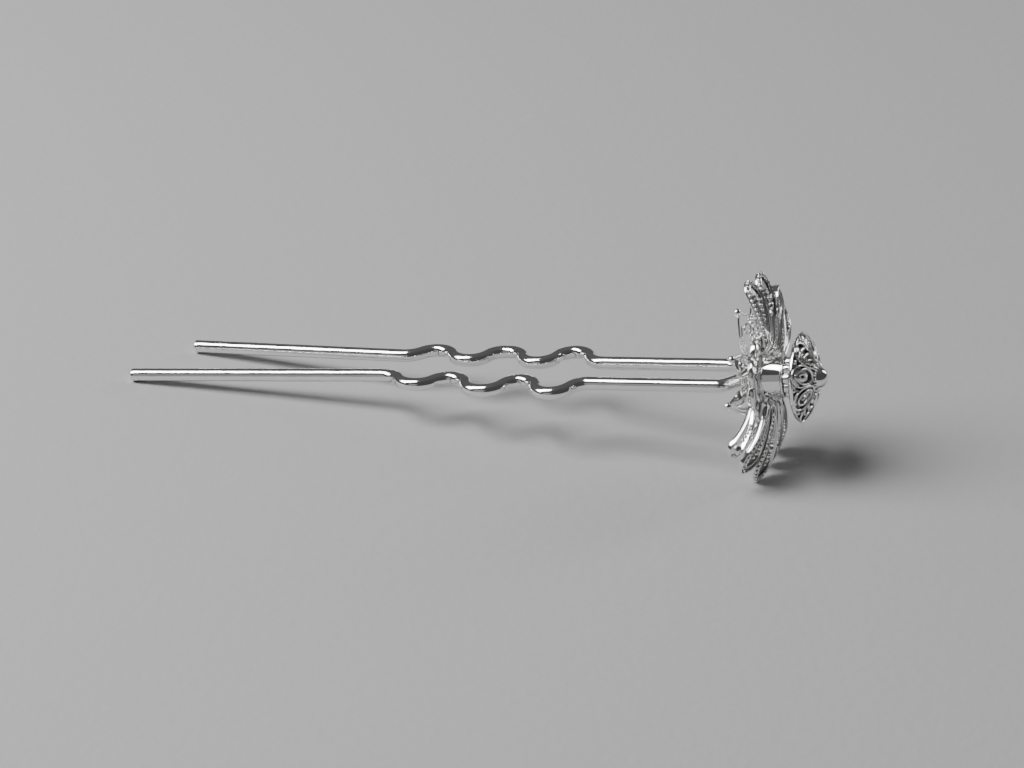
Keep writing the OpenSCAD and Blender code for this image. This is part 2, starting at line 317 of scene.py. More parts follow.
def silver(name, tone, rough, painted_shade=None, grain=0.0, drawn=False):
    """Polished plate: faint cloudiness in tone and gloss, fine bumps, and painted shade in hollows.

    The painted shade in hollows is given as a width in millimetres and the tone that it falls to."""
    mat = bpy.data.materials.new(name)
    mat.use_nodes = True
    tree = mat.node_tree
    shader = tree.nodes["Principled BSDF"]
    shader.inputs["Metallic"].default_value = 1.0
    place = tree.nodes.new("ShaderNodeTexCoord")
    cloud = tree.nodes.new("ShaderNodeTexNoise")
    cloud.inputs["Scale"].default_value = CLOUD_SCALE
    cloud.inputs["Detail"].default_value = CLOUD_DETAIL
    tree.links.new(place.outputs["Object"], cloud.inputs["Vector"])
    tint = tree.nodes.new("ShaderNodeValToRGB")
    low, high = tint.color_ramp.elements
    low.position, high.position = CLOUD_RAMP
    dull = tone * DULL
    low.color = (dull, dull, dull * DULL_BLUE, 1)
    high.color = (tone, tone, tone * BRIGHT_BLUE, 1)
    tree.links.new(cloud.outputs["Fac"], tint.inputs["Fac"])
    colour = tint.outputs["Color"]
    # Painted shade: the base colour darkens in hollows, where ambient occlusion finds nearby
    # surfaces.
    if painted_shade:
        width, depth = painted_shade
        shade = tree.nodes.new("ShaderNodeAmbientOcclusion")
        shade.samples = PAINTED_SHADE_SAMPLES
        shade.inputs["Distance"].default_value = width * MM
        fade = tree.nodes.new("ShaderNodeValToRGB")
        deep, open_air = fade.color_ramp.elements
        deep.position, open_air.position = PAINTED_SHADE_RAMP
        deep.color = (depth, depth, depth, 1)
        open_air.color = (1, 1, 1, 1)
        tree.links.new(shade.outputs["AO"], fade.inputs["Fac"])
        both = tree.nodes.new("ShaderNodeMix")
        both.data_type = "RGBA"
        both.blend_type = "MULTIPLY"
        both.inputs[0].default_value = 1.0
        tree.links.new(colour, both.inputs[MIX_A])
        tree.links.new(fade.outputs["Color"], both.inputs[MIX_B])
        colour = both.outputs[MIX_RESULT]
    tree.links.new(colour, shader.inputs["Base Color"])
    gloss = tree.nodes.new("ShaderNodeMapRange")
    gloss.inputs["To Min"].default_value = rough * GLOSS_LOW
    gloss.inputs["To Max"].default_value = rough * GLOSS_HIGH
    tree.links.new(cloud.outputs["Fac"], gloss.inputs["Value"])
    tree.links.new(gloss.outputs["Result"], shader.inputs["Roughness"])
    stretch = tree.nodes.new("ShaderNodeMapping")
    stretch.inputs["Scale"].default_value = DRAWN_STRETCH if drawn else (1, 1, 1)
    tree.links.new(place.outputs["Object"], stretch.inputs["Vector"])
    fine = tree.nodes.new("ShaderNodeTexNoise")
    fine.inputs["Scale"].default_value = FINE_SCALE
    fine.inputs["Detail"].default_value = FINE_DETAIL
    tree.links.new(stretch.outputs["Vector"], fine.inputs["Vector"])
    bump = tree.nodes.new("ShaderNodeBump")
    bump.inputs["Strength"].default_value = grain
    bump.inputs["Distance"].default_value = FINE_HEIGHT * MM
    tree.links.new(fine.outputs["Fac"], bump.inputs["Height"])
    tree.links.new(bump.outputs["Normal"], shader.inputs["Normal"])
    return mat


DRAWN_WIRE = silver("drawn_wire", 0.93, 0.10, grain=0.22, drawn=True)
POLISHED_SHEET = silver("polished_sheet", 0.94, 0.07, grain=0.1)
# These four paint shade into their hollows, given as the width it reaches and the tone it falls to.
BRIGHT_BAND = silver("bright_band", 0.95, 0.1, painted_shade=(0.5, 0.5), grain=0.12)
GRANULATED = silver("granulated", 0.98, 0.09, painted_shade=(0.25, 0.7), grain=0.08)
SATIN_GROUND = silver("satin_ground", 0.66, 0.3, painted_shade=(0.45, 0.3), grain=0.2)
LOBED_BAND = silver("lobed_band", 0.95, 0.1, painted_shade=(0.35, 0.42), grain=0.1)
MIRROR_BALL = silver("mirror_ball", 0.95, 0.035, grain=0.03)


# Pin

# The steps of its centre line, the rings that round a cut tip, each with its distance from the
# end and its scale, and the solder cone
STEP_LEN, STEP_DEG, STEP_LEAST = 0.6, 5, 1e-5
CUT_LEN, CUT_RINGS = 0.12, [(0.05, 0.975), (0.012, 0.91), (0, 0.8)]
CONE_S, CONE_LEN, CONE_R, CONE_SWELL, CONE_POWER = -2.2, 1.5, 0.72, 0.73, 2.2
CONE_CORE_R, CONE_FOOT_R = 0.4, 1.5


class Walk:
    """Walks along the wire's centre line."""

    def __init__(self, pos, way):
        self.p = np.array(pos, float)
        self.d = np.array(way, float)
        self.pts = [self.p.copy()]

    def run(self, length):
        n = max(int(length / STEP_LEN), 1)
        for _ in range(n):
            self.p = self.p + self.d * length / n
            self.pts.append(self.p.copy())

    def bend(self, r, deg, towards):
        """Turns by deg, towards a direction that stands square to the wire."""
        to = np.array(towards, float)
        to = unit(to - self.d * np.dot(to, self.d))
        d0, p0 = self.d.copy(), self.p.copy()
        n = max(int(abs(deg) / STEP_DEG), 2)
        for i in range(1, n + 1):
            a = math.radians(deg * i / n)
            self.p = p0 + d0 * r * math.sin(a) + to * r * (1 - math.cos(a))
            self.d = d0 * math.cos(a) + to * math.sin(a)
            self.pts.append(self.p.copy())


def leg(side, tail, splay):
    """side is +1 for the far leg and -1 for the near one, and splay opens outwards."""
    out = np.array((0.0, side, 0.0))
    walk = Walk((0, 0, HEAD_S), out)
    turn = math.radians(HEAD_TURN)
    bends = HEAD_R * math.sin(turn) + SHOULDER_R * (1 - math.cos(turn))
    shoulder = (HALF_GAP - bends) / math.sin(turn)
    walk.bend(HEAD_R, HEAD_TURN, (0, 0, -1))
    walk.run(shoulder)
    walk.bend(SHOULDER_R, HEAD_TURN, (0, 0, -1))
    walk.run(NECK + 2 * LINK)
    ahead = walk.d.copy()
    half = PITCH / 2
    for i in range(len(LEVELS) - 1):
        rise = LEVELS[i + 1] - LEVELS[i]
        a = 2 * math.atan(abs(rise) / half)
        r = (half - LINK * (1 + math.cos(a))) / 2 / math.sin(a)
        walk.bend(r, math.degrees(a), out * (1 if rise > 0 else -1))
        walk.run(LINK)
        walk.bend(r, math.degrees(a), ahead)
        walk.run(LINK)
        if i + 1 == LIFT_AFTER:
            walk.bend(SLIGHT_R, LIFT, (-1, 0, 0))
            walk.run(LINK)
            ahead = walk.d.copy()
    walk.bend(SLIGHT_R, abs(splay), out * (1 if splay > 0 else -1))
    walk.run(tail + LINK)
    return walk


def cut_end(walk):
    """Rings, each a place and a scale, that round the edge of a cut wire tip."""
    p, d = walk.pts[-1], walk.d
    walk.pts[-1] = p - d * CUT_LEN
    return [(p - d * back, scale) for back, scale in CUT_RINGS]


def pin():
    far = leg(1, FAR_TAIL, -FAR_SPLAY)
    near = leg(-1, NEAR_TAIL, NEAR_SPLAY)
    near_end, far_end = cut_end(near), cut_end(far)
    middle = near.pts[::-1] + far.pts[1:]
    line = [p for p, _ in near_end[::-1]] + middle + [p for p, _ in far_end]
    sizes = [s for _, s in near_end[::-1]] + [1.0] * len(middle) + [s for _, s in far_end]
    keep = [0] + [i for i in range(1, len(line))
                  if np.linalg.norm(line[i] - line[i - 1]) > STEP_LEAST]
    wire = tube([line[i] for i in keep], WIRE_R, 32, scale=[sizes[i] for i in keep])
    # The solder cone behind the plate swells towards it.
    t = np.linspace(0, 1, 14)
    flare = list(zip(CONE_R + CONE_SWELL * t ** CONE_POWER, CONE_S + CONE_LEN * t))
    cone = ([(CONE_CORE_R, CONE_S)] + flare
            + [(CONE_FOOT_R, -PLATE_T), (CONE_CORE_R, -PLATE_T)])
    piece("pin_wire", [wire, revolve(cone, 48)], DRAWN_WIRE, "wire", "pin")


# Post, collar, ball and base plate

# Roundings, the bead at the post's end, the collar's core, the washer below the ball, and the
# plate's scallops and edge
EDGE_ROUND = 0.05
END_BEAD, END_BEAD_LEN, END_BEAD_SLOPE = 0.05, 0.2, 0.06
BLOCK_ROUND, BLOCK_HOLE_R = 0.16, 0.05
CORE_INSET, CORE_HOLE_R, CORE_DROP = 0.7, 0.3, 0.03
WASHER_HOLE_R, WASHER_R, WASHER_S, WASHER_H, WASHER_ROUND = 0.5, 1.2, 5.2, 0.3, 0.09
LOBE_SHARE = 0.36
PLATE_EDGE_W, PLATE_EDGE_ROUND, PLATE_EDGE_INSET = 0.28, 0.1, 0.985
# The plate's thin sheet, open in its middle: shares of the outline, and places along the axis
PLATE_SHEET = [(0.32, -0.12), (0.6, -0.12), (0.93, -0.12),
               (0.93, -0.48), (0.6, -0.48), (0.32, -0.48)]
# The ring and the bead on the back of each scallop
BACK_S, BACK_RING_R, BACK_WIRE_R, BACK_BEAD_R = -0.5, 0.85, 0.1, 0.42


def ring_profile(inner, outer, low, high):
    return [(inner, low), (outer, low), (outer, high), (inner, high)]


def post():
    inner = POST_R - POST_WALL
    bead_r, bead_s = POST_R + END_BEAD, POST_LEN - END_BEAD_LEN
    profile = [(inner, GAP), (FLANGE_R, GAP), (FLANGE_R, FLANGE_H), (POST_R, FLANGE_H + EDGE_ROUND),
               (POST_R, bead_s - END_BEAD_SLOPE), (bead_r, bead_s), (bead_r, POST_LEN),
               (inner, POST_LEN)]
    piece("post_tube", [revolve(rounded(profile, EDGE_ROUND), 120)], POLISHED_SHEET, "sheet", "post")


def collar():
    block = revolve(rounded(ring_profile(BLOCK_HOLE_R, BLOCK_R, 0, COLLAR_H), BLOCK_ROUND, 5), 28)
    outwards = shift(COLLAR_R - BLOCK_R, 0, COLLAR_S)
    parts = [put(block, rot("Z", i * 360 / BLOCKS) @ outwards) for i in range(BLOCKS)]
    core = ring_profile(CORE_HOLE_R, COLLAR_R - CORE_INSET, CORE_DROP, COLLAR_H - CORE_DROP)
    parts.append(put(revolve(rounded(core, EDGE_ROUND), 48), shift(0, 0, COLLAR_S)))
    piece("collar_blocks", parts, BRIGHT_BAND, "sheet", "collar")


def front_ball():
    profile = ring_profile(WASHER_HOLE_R, WASHER_R, WASHER_S, WASHER_S + WASHER_H)
    washer = revolve(rounded(profile, WASHER_ROUND), 40)
    ball = put((LARGE[0] * BALL_R, LARGE[1]), shift(0, 0, BALL_S))
    piece("front_ball", [ball, washer], MIRROR_BALL, "ball", "ball")


def plate_outline(n=360):
    """The scalloped outline of the plate, as points round the axis."""
    lobe = PLATE_R * LOBE_SHARE
    at = PLATE_R - lobe
    out = []
    for q in np.arange(n) * 2 * math.pi / n:
        best = PLATE_R - lobe / 2
        for i in range(PLATE_LOBES):
            d = q - 2 * math.pi * i / PLATE_LOBES
            inside = lobe ** 2 - (at * math.sin(d)) ** 2
            if inside > 0 and math.cos(d) > 0:
                best = max(best, at * math.cos(d) + math.sqrt(inside))
        out.append((best * math.cos(q), best * math.sin(q)))
    return np.array(out)


def base_plate():
    outline = plate_outline()
    n = len(outline)
    parts = []
    edge = np.column_stack([outline * PLATE_EDGE_INSET, np.full(n, -PLATE_T / 2)])
    rim = band_section(PLATE_EDGE_W, PLATE_T, PLATE_EDGE_ROUND)
    parts.append(sweep(edge, (0, 0, 1), rim, closed=True))
    v = np.concatenate([np.column_stack([outline * k, np.full(n, s)]) for k, s in PLATE_SHEET])
    r, i = np.arange(len(PLATE_SHEET))[:, None], np.arange(n)[None, :]
    after = (r + 1) % len(PLATE_SHEET)
    f = np.stack([r * n + i, r * n + (i + 1) % n, after * n + (i + 1) % n, after * n + i], -1)
    parts.append((v, f.reshape(-1, 4).tolist()))
    # Each scallop has a ring and a bead on the back.
    path = circle(BACK_RING_R, 28, BACK_S)
    ring = sweep(path, (0, 0, 1), ring_section(BACK_WIRE_R, 8), closed=True)
    bead = beads([[0, 0, BACK_S]], BACK_BEAD_R, MIDDLE)
    outwards = shift(PLATE_R * (1 - LOBE_SHARE), 0, 0)
    for i in range(PLATE_LOBES):
        m = rot("Z", i * 360 / PLATE_LOBES) @ outwards
        parts.append(put(ring, m))
        parts.append(put(bead, m))
    piece("plate_back", parts, BRIGHT_BAND, "sheet", "base_plate")


# Petals

# Where a side starts, the half width that it needs there, its round end, the thin sheet, the
# sprays, the stem, the filling's place, how far grains and wires stand off the sheet, how far the
# grains on an edge lie inside it, and the strap
SIDE_START, SIDE_ROOM, END_LEN, END_BULGE = 3.3, 0.12, 2.1, 0.9
SHEET_DISH, SHEET_T, SHEET_INSET, SHEET_COLS = 0.1, 0.12, 0.1, 17
SPRAY_START, SPRAY_SHORT, SPRAY_CLEAR, SPRAY_POWER = 4.4, 2.2, 0.16, 1.6
SPRAY_ROOM, SPRAY_LIFT = 0.2, 0.08
STEM_END, STEM_THIN, STEM_POINTS = 0.58, 0.4, 24
FILL_AT = 0.67
GRAIN_LIFT, WIRE_LIFT, CHAIN_LIFT, FINE_LIFT = 0.06, 0.1, 0.12, 0.02
GRAIN_INSET = 0.02
STRAP_RISE, STRAP_CLEAR = 0.1, 0.02
# The half width from which the sheet has its whole dish, and the step that measures a slope
DISH_FROM, SLOPE_STEP = 0.8, 0.01
# Bands, each a width, a height and a rounding
UNDER_BAND, STEM_BAND, STRAP_BAND = (0.2, 0.26, 0.09), (0.4, 0.36, 0.15), (0.66, 0.3, 0.12)
RIM_ROUND, RIM_STEP = 0.07, 0.12
BLADE_BAND, BLADE_RISE, BLADE_SHORT = (RIM_W, 0.7, 0.05), 0.42, 0.6
UNDER_INSET, UNDER_LIFT, STEM_LIFT = 0.16, -0.24, 0.05
FAR_INSET, FAR_R, FAR_LIFT = 0.14, 0.14, 0.08
# How far from the axis the lines along a petal's edge start, and how far short of the tip the
# fine grains end
BEADED_START, BANDED_START, FAR_START = 4.2, 5.0, 3.6
WIRE_START, FINE_START, BLADE_START = 4.6, 6.2, 6.5
FINE_SHORT = 1.2
# The scroll with its bead, and the long bead
SCROLL_RADII, SCROLL_TURNS, SCROLL_LIFT = (0.5, 0.18), 1.4, 0.14
SCROLL_BEAD_R, SCROLL_BEAD_LIFT = 0.2, 0.18
LONG_BEAD, LONG_BEAD_LIFT = (0.52, 0.36, 0.38), 0.16


class Arch:
    """The curved sheet of a petal or leaf. A plan place (x, y) and a height give a point."""

    def __init__(self, reach, crest, tip, crest_x, foot_r=0.0, twist=0.0):
        self.twist = twist
        fall, run = crest - tip, reach - crest_x
        self.r = (run * run + fall * fall) / (2 * fall)
        self.crest, self.crest_x, self.foot_r = crest, crest_x, foot_r

    def s(self, x):
        x = np.asarray(x, float)
        drop = self.r - np.sqrt(np.maximum(self.r ** 2 - (x - self.crest_x) ** 2, 0))
        front = self.crest - drop
        if not self.foot_r:
            return front
        back = np.minimum(self.crest_x - x, self.foot_r)
        rear = self.crest - self.foot_r + np.sqrt(np.maximum(self.foot_r ** 2 - back ** 2, 0))
        return np.where(x >= self.crest_x, front, rear)

    def normal(self, x):
        x = np.asarray(x, float)
        rise = (self.s(x + SLOPE_STEP) - self.s(x - SLOPE_STEP)) / (2 * SLOPE_STEP)
        return unit(np.stack([-rise, np.full_like(x, -self.twist), np.ones_like(x)], -1))

    def at(self, xy, h=0.0):
        xy = np.atleast_2d(np.asarray(xy, float))
        p = np.column_stack([xy[:, 0], xy[:, 1], self.s(xy[:, 0]) + self.twist * xy[:, 1]])
        return p + self.normal(xy[:, 0]) * np.reshape(h, (-1, 1))

    def line(self, xy, section, h=0.0, closed=False, scale=1.0):
        """Sweeps a section along a plan line, standing square on the sheet."""
        xy = np.asarray(xy, float)
        return sweep(self.at(xy, h), self.normal(xy[:, 0]), section, closed, scale)


def petal_side(inset, reach, form, x0=SIDE_START, n=26, m=22):
    """Plan line of a petal's side, inset from its outline, from x0 to its tip at y = 0.

    The side follows the sector line, and the end is a superellipse of the given form."""
    x0 = max(x0, (inset + SIDE_ROOM) / SECTOR)
    xe, tip = reach - END_LEN, reach - inset
    ye = xe * SECTOR - inset
    body = np.linspace(x0, xe, n)
    a = np.linspace(0, math.pi / 2, m + 1)[1:]
    end_x = xe + (tip - xe) * np.sin(a) ** END_BULGE
    end_y = ye * np.maximum(np.cos(a), 0) ** (2 / form)
    return np.column_stack([np.concatenate([body, end_x]),
                            np.concatenate([body * SECTOR - inset, end_y])])


def whole(side):
    """A side line and its mirror image as one line round the tip."""
    return np.vstack([side, side[::-1][1:] * (1, -1)])


def spiral(cx, cy, r0, r1, turns, start=0.0, hand=1, n=36):
    t = np.linspace(0, 1, n)
    a = start + hand * turns * 2 * math.pi * t
    r = r0 + (r1 - r0) * t
    return np.column_stack([cx + r * np.cos(a), cy + r * np.sin(a)])


def pierced(arch, side, depth, thick, openings):
    """The thin dished sheet between the sides, cut through by its openings.

    An opening is a stretch of the sheet's length and one of its half width, both from 0 to 1."""
    side = side[:-1]
    cols = np.linspace(-1, 1, SHEET_COLS)
    top, low = [], []
    for x, y in side:
        xy = np.column_stack([np.full(len(cols), x), cols * y])
        dish = -depth * (1 - cols ** 2) * min(1, y / DISH_FROM)
        top.append(arch.at(xy, dish))
        low.append(arch.at(xy, dish - thick))
    nr, nc = len(side), len(cols)
    share = (side[:, 0] - side[0, 0]) / (side[-1, 0] - side[0, 0])
    along = (share[:-1] + share[1:]) / 2
    across = np.abs(cols[:-1] + cols[1:]) / 2
    kept = np.ones((nr - 1, nc - 1), bool)
    for u0, u1, v0, v1 in openings:
        kept &= ~(((along > u0) & (along < u1))[:, None] & ((across > v0) & (across < v1))[None, :])
    back = nr * nc
    faces = []
    for r, c in zip(*np.nonzero(kept)):
        q = int(r * nc + c)
        ring = [q, q + nc, q + nc + 1, q + 1]
        faces.append(ring)
        faces.append([k + back for k in ring[::-1]])
        # A wall closes each side that has no neighbour.
        for k, (rr, cc) in enumerate(((r, c - 1), (r + 1, c), (r, c + 1), (r - 1, c))):
            if 0 <= rr < nr - 1 and 0 <= cc < nc - 1 and kept[rr, cc]:
                continue
            a, b = ring[k], ring[(k + 1) % 4]
            faces.append([b, a, a + back, b + back])
    return np.vstack([np.vstack(top), np.vstack(low)]), faces


PETAL_OPENINGS = [(0.3, 0.5, 0.25, 0.65)]
# The beads on a petal's middle line, as steps from the filling's place, and radii
CHAINS = {
    "scroll": [(-0.95, 0.17), (0.8, 0.24), (1.3, 0.2), (1.72, 0.17)],
    "beads": [(-0.9, 0.2), (0.82, 0.3), (1.4, 0.22), (1.85, 0.17)],
    "granules": [(-0.8, 0.17), (-0.35, 0.2), (0.15, 0.24), (0.7, 0.29), (1.3, 0.24), (1.8, 0.19)],
}


def sprays(arch, reach, inner):
    """Two long curved wires that leave the stem and run to the sides."""
    parts = []
    t = np.linspace(0, 1, 22)
    run = SPRAY_START + (reach - SPRAY_SHORT - SPRAY_START) * t
    room = np.maximum(run * SECTOR - inner, SPRAY_ROOM)
    for sign in (-1, 1):
        bow = SPRAY_CLEAR + (room - SPRAY_CLEAR) * t ** SPRAY_POWER
        path = np.column_stack([run, sign * bow])
        parts.append(arch.line(path, THIN_WIRE, SPRAY_LIFT))
    return parts


def strap(arch, crest):
    """The petal's foot, which rises from the plate and bends over."""
    top = max(crest - arch.foot_r, GAP + STRAP_RISE)
    foot = [(FOOT_X, 0, s) for s in np.linspace(GAP + STRAP_CLEAR, top, 4)]
    for x in np.linspace(FOOT_X, CREST_X, 12)[1:]:
        if arch.s(x) > foot[-1][2]:
            foot.append((x, 0, float(arch.s(x))))
    foot = np.array(foot)
    t = tangents(foot)
    up = np.stack([-t[:, 2], 0 * t[:, 0], t[:, 0]], -1)
    return sweep(foot, up, band_section(*STRAP_BAND))


def grain_row(arch, line):
    return beads(arch.at(spaced(line, GRAIN_STEP), GRAIN_LIFT), GRAIN_R)


def beaded_edge(arch, reach, form, near):
    """Grains on the near edge and round the tip, and a smooth wire on the far edge."""
    row_in = GRAIN_R + GRAIN_INSET
    far = (1, -near[1])
    under = whole(petal_side(UNDER_INSET, reach, form))
    frames = [arch.line(under, band_section(*UNDER_BAND), UNDER_LIFT)]
    row = whole(petal_side(row_in, reach, form, BEADED_START) * near)[:NEAR_POINTS]
    line = petal_side(FAR_INSET, reach, form, FAR_START) * far
    frames.append(arch.line(line, ring_section(FAR_R, 10), FAR_LIFT))
    return frames, [grain_row(arch, row)], row_in


def banded_edge(arch, reach, form, near):
    """A bright band on edge all round, with grains inside it on the near side."""
    row_in = RIM_W + GRAIN_R
    rim = spaced(whole(petal_side(RIM_W / 2, reach, form)), RIM_STEP)
    frames = [arch.line(rim, band_section(RIM_W, RIM_H, RIM_ROUND, RIM_DROP))]
    row = petal_side(row_in, reach, form, BANDED_START) * near
    return frames, [grain_row(arch, row)], row_in


def blade(arch, reach, form, near):
    """A tall thin band that stands up from the near edge."""
    line = petal_side(RIM_W / 2, reach, form) * near
    line = line[(line[:, 0] > BLADE_START) & (line[:, 0] < reach - BLADE_SHORT)]
    return arch.line(line, band_section(*BLADE_BAND, BLADE_RISE))


def stem(arch, reach):
    """A wire that runs from the foot along the middle line and thins out."""
    xs = np.linspace(SIDE_START, reach * STEM_END, STEM_POINTS)
    taper = np.linspace(1.0, STEM_THIN, STEM_POINTS)
    path = np.column_stack([xs, 0 * xs])
    return arch.line(path, band_section(*STEM_BAND), STEM_LIFT, scale=taper)


def petal_filling(arch, reach, filling):
    """A scroll or a long bead, and a chain of beads, on the middle line beyond the stem."""
    frames, grains = [], []
    mid = reach * FILL_AT
    if filling == "scroll":
        scroll = spiral(mid, 0, *SCROLL_RADII, SCROLL_TURNS, math.pi)
        frames.append(arch.line(scroll, THIN_WIRE, SCROLL_LIFT))
        grains.append(beads(arch.at([[mid, 0]], SCROLL_BEAD_LIFT), SCROLL_BEAD_R, MIDDLE))
    if filling == "beads":
        grains.append(beads(arch.at([[mid, 0]], LONG_BEAD_LIFT), LONG_BEAD, MIDDLE))
    for step, r in CHAINS[filling]:
        grains.append(beads(arch.at([[mid + step, 0]], CHAIN_LIFT), r, MIDDLE))
    return frames, grains


def petal(i, row):
    angle, reach, crest, tip, form, edge, filling = row
    # The petals overlap like feathers, each twisted the same way in its fan.
    arch = Arch(reach, crest, tip, CREST_X, CREST_X - FOOT_X, TWIST if angle > 90 else -TWIST)
    near = (1, 1 if angle < 90 else -1)
    make_edge = beaded_edge if edge == "beaded" else banded_edge
    frames, grains, row_in = make_edge(arch, reach, form, near)
    if edge == "blade":
        frames.append(blade(arch, reach, form, near))
    # A smooth wire follows inside, with fine grains along it on the lower petals.
    wire_in = row_in + GRAIN_R + THIN_R
    wire = whole(petal_side(wire_in, reach, form, WIRE_START))
    frames.append(arch.line(wire, THIN_WIRE, WIRE_LIFT))
    if angle > 90:
        line = petal_side(wire_in + THIN_R + FINE_GRAIN_R, reach, form, FINE_START) * near
        line = line[line[:, 0] < reach - FINE_SHORT]
        grains.append(beads(arch.at(spaced(line, FINE_STEP), FINE_LIFT), FINE_GRAIN_R))
    ground = petal_side(SHEET_INSET, reach, form)
    sheet = pierced(arch, ground, SHEET_DISH, SHEET_T, PETAL_OPENINGS)
    frames.extend(sprays(arch, reach, wire_in))
    frames.append(stem(arch, reach))
    more_frames, more_grains = petal_filling(arch, reach, filling)
    frames.extend(more_frames)
    grains.extend(more_grains)
    frames.append(strap(arch, crest))
    m = LAY @ at_angle(angle)
    piece(f"petal_{i}_frame", frames, BRIGHT_BAND, "filigree", f"petal_{i}", m=m)
    piece(f"petal_{i}_grains", grains, GRANULATED, "filigree", m=m)
    piece(f"petal_{i}_ground", [sheet], SATIN_GROUND, "filigree", m=m)


# Leaves

# The small dish as radii and heights, then the bead, the bowl's tilt, and the spoon's parts
DISH = [(0.02, 0.2), (0.22, 0.18), (0.42, 0.11), (0.58, -0.02), (0.6, -0.12), (0.45, -0.18),
        (0.25, -0.22), (0.02, -0.24)]
LEAF_BEAD_R = 0.42
BOWL_TILT, BOWL_SIZE = 16, (2.0, 1.5, 1.8)
SPOON_PAST, SPOON_R, SPOON_NECK = 0.45, 1.15, 0.6
SPOON_BAND = (0.2, 0.62, 0.09)
SPOON_BOWL_BACK, SPOON_BOWL_SIDE, SPOON_BOWL = 0.95, 0.1, (0.68, 0.56, 0.48)
SPOON_CHAIN = [(1.95 + 0.46 * k, 0.1 + 0.06 * k) for k in range(5)]
SPOON_CHAIN_R, SPOON_LIFT = 0.23, 0.16
# The curl, the stalk, the edge of a pointed leaf, and the line inside it
CURL_BACK, CURL_RADII, CURL_TURNS, CURL_LIFT = 2.2, (0.86, 0.3), 1.15, 0.05
STALK_END, STALK_THIN, STALK_POINTS, STALK_BAND = 4.4, 0.5, 12, (0.34, 0.4, 0.13)
OGIVE_FOOT, OGIVE_SKEW, OGIVE_POWER = 0.2, 1.2, 0.9
LEAF_INSET, LEAF_EDGE_W, LEAF_EDGE_ROUND, LEAF_EDGE_TOP = 0.1, 0.26, 0.11, 0.2
INNER_START, INNER_END, INNER_SIDE = 0.9, 0.55, 0.4
INNER_FROM, INNER_SHORT = 3.4, 1.2
LEAN_OUT = 0.2


def ogive(start, end, half, n=34):
    """Plan line round a leaf: from its narrow start out to its point and back."""
    u = np.linspace(0, 1, n)
    swell = np.maximum(np.sin(math.pi * u ** OGIVE_SKEW), 0) ** OGIVE_POWER
    y = OGIVE_FOOT * (1 - u) + half * swell
    out = np.column_stack([start + (end - start) * u, y])
    return np.vstack([out, out[-2::-1] * (1, -1)])


def drop_line(start, end, r, w0, n=30):
    """Plan line round a drop: from its narrow start, round its far end and back."""
    at = end - r
    lean = math.asin((r - w0 / 2) / (at - start))
    x1, y1 = at - r * math.sin(lean), r * math.cos(lean)
    t = np.linspace(0, 1, 14)
    up = np.column_stack([start + (x1 - start) * t, w0 / 2 + (y1 - w0 / 2) * t])
    a = np.linspace(math.pi / 2 + lean, -math.pi / 2 - lean, n)[1:-1]
    arc = np.column_stack([at + r * np.cos(a), r * np.sin(a)])
    return np.vstack([up, arc, (up * (1, -1))[::-1]])


def bowl(arch, at, size):
    """A small dish that lies on a leaf."""
    place = shift(*arch.at([[at, 0]], GRAIN_LIFT)[0])
    return put(revolve(DISH, 32), place @ rot("Y", BOWL_TILT) @ np.diag([*size, 1.0]))


def spoon(arch, reach):
    """A drop with a smooth band, a dish at its round end, and a chain of beads."""
    end = reach + SPOON_PAST
    edge = drop_line(LEAF_START, end, SPOON_R, SPOON_NECK)
    dish = arch.at([[end - SPOON_BOWL_BACK, SPOON_BOWL_SIDE]], SPOON_LIFT)
    frames = [arch.line(edge, band_section(*SPOON_BAND)),
              beads(dish, SPOON_BOWL, SPOON_BALL)]
    chain = [(end - back, across) for back, across in SPOON_CHAIN]
    return frames, [beads(arch.at(chain, SPOON_LIFT), SPOON_CHAIN_R)]


def leaning(line, lean):
    """Draws the negative side of a plan line in, and lets the positive side out a little."""
    y = line[:, 1]
    return np.column_stack([line[:, 0], np.where(y < 0, y * (1 - lean), y * (1 + LEAN_OUT * lean))])


def pointed(arch, reach, filling, height, lean, hand):
    """A leaf with a point, grains on one side and a wire on the other."""
    half, end = LEAF_W / 2 - LEAF_INSET, reach - LEAF_INSET
    edge = leaning(ogive(LEAF_START, end, half), lean)
    middle = LEAF_EDGE_TOP - height / 2
    frames = [arch.line(edge, band_section(LEAF_EDGE_W, height, LEAF_EDGE_ROUND, middle))]
    inner = ogive(LEAF_START + INNER_START, end - INNER_END, half - INNER_SIDE)
    inner = leaning(inner, lean)
    inner = inner[(inner[:, 0] > INNER_FROM) & (inner[:, 0] < end - INNER_SHORT)]
    grains = [grain_row(arch, inner[inner[:, 1] < 0])]
    frames.append(arch.line(inner[inner[:, 1] > 0], THIN_WIRE, WIRE_LIFT))
    fill_at = reach - CURL_BACK
    if filling == "dish":
        frames.append(bowl(arch, fill_at, BOWL_SIZE))
    else:
        curl = spiral(fill_at, 0, *CURL_RADII, CURL_TURNS, math.pi, hand)
        frames.append(arch.line(curl, THIN_WIRE, CURL_LIFT))
    frames.append(beads([[reach, 0, arch.s(reach)]], LEAF_BEAD_R, LEAF_BALL))
    return frames, grains


def leaf(i, row):
    angle, reach, tip, filling, height, twist, lean = row
    arch = Arch(reach, LEAF_CREST, tip, LEAF_CREST_X, twist=twist)
    if filling == "spoon":
        frames, grains = spoon(arch, reach)
    else:
        frames, grains = pointed(arch, reach, filling, height, lean, 1 if i % 2 else -1)
    xs = np.linspace(LEAF_START, STALK_END, STALK_POINTS)
    stalk = np.column_stack([xs, 0 * xs])
    taper = np.linspace(1, STALK_THIN, STALK_POINTS)
    frames.append(arch.line(stalk, band_section(*STALK_BAND), scale=taper))
    m = LAY @ at_angle(angle)
    piece(f"leaf_{i}_frame", frames, BRIGHT_BAND, "leaf", f"leaf_{i}", m=m)
    piece(f"leaf_{i}_grains", grains, GRANULATED, "leaf", m=m)


# Rosette

